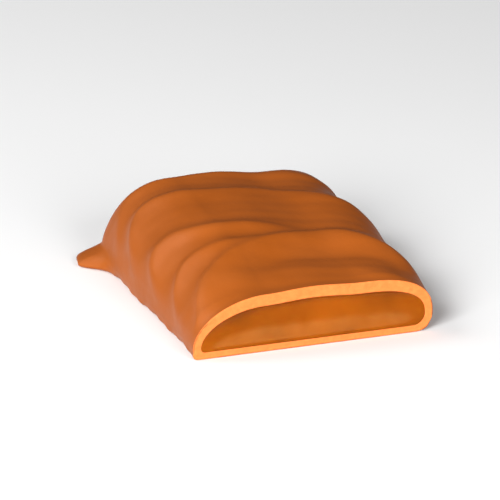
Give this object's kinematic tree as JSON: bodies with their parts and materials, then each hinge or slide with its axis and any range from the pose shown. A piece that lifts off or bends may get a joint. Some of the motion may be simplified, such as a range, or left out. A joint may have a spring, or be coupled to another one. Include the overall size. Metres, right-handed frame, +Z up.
{
  "type": "chocolate-coated caramel bar, cut across",
  "caption": "Cut half of an enrobed bar: a milk chocolate coat with rolled ridges, flat underneath, round a smooth caramel centre that shows at the cut.",
  "frame": {"origin": "middle of the flat base, midway between the cut and the finished end, leaving out the small tail of the foot", "axes": "+Z up, +Y from the cut face to the finished end, +X across the bar towards its rounder side"},
  "size_m": [0.0333, 0.0375, 0.0111],
  "materials": {
    "milk_chocolate": "satin",
    "caramel": "smooth, slightly translucent"
  },
  "bodies": {
    "root": {"chocolate_coat": "milk_chocolate", "caramel_centre": "caramel"}
  },
  "joints": []
}
